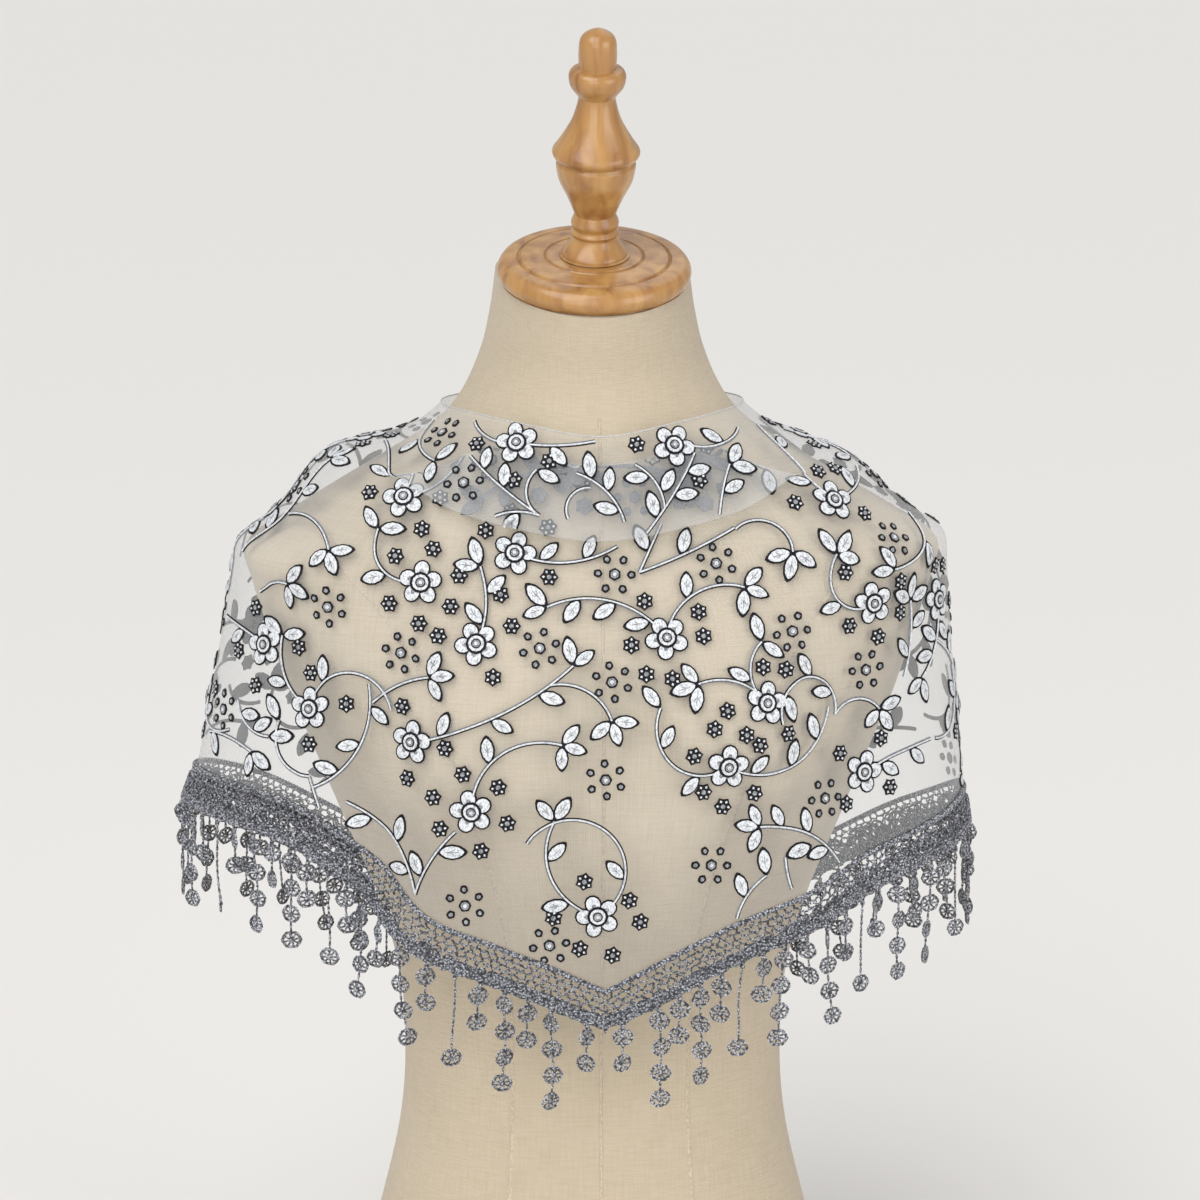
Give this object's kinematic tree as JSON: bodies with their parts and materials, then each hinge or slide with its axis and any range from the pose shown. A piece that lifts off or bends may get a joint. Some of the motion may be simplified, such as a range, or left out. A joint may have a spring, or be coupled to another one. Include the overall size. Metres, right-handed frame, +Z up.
{
  "type": "lace shawl on a limbless dress form",
  "caption": "Sheer lace shawl with floral embroidery, openwork border and medallion fringe, worn point forward on a linen-covered dress form with a turned wood cap and finial.",
  "frame": {"origin": "middle of the dress form's flat base, on the surface that it stands on", "axes": "+Z up, -Y toward the front, where the shawl's point hangs, +X to the right as seen in the picture"},
  "size_m": [0.4735, 0.2724, 0.8175],
  "materials": {
    "linen": "matt cream linen weave",
    "wood": "glossy honey-coloured varnish",
    "tulle": "sheer fine net with white and black floral embroidery",
    "lace": "grey-blue corded openwork lace and crochet medallions"
  },
  "bodies": {
    "root": {"torso": "linen", "neck_cap": "wood", "finial": "wood", "shawl_net": "tulle", "border_left": "lace", "border_right": "lace", "fringe_front_left": "lace", "fringe_front_right": "lace", "fringe_back_left": "lace", "fringe_back_right": "lace"}
  },
  "joints": []
}
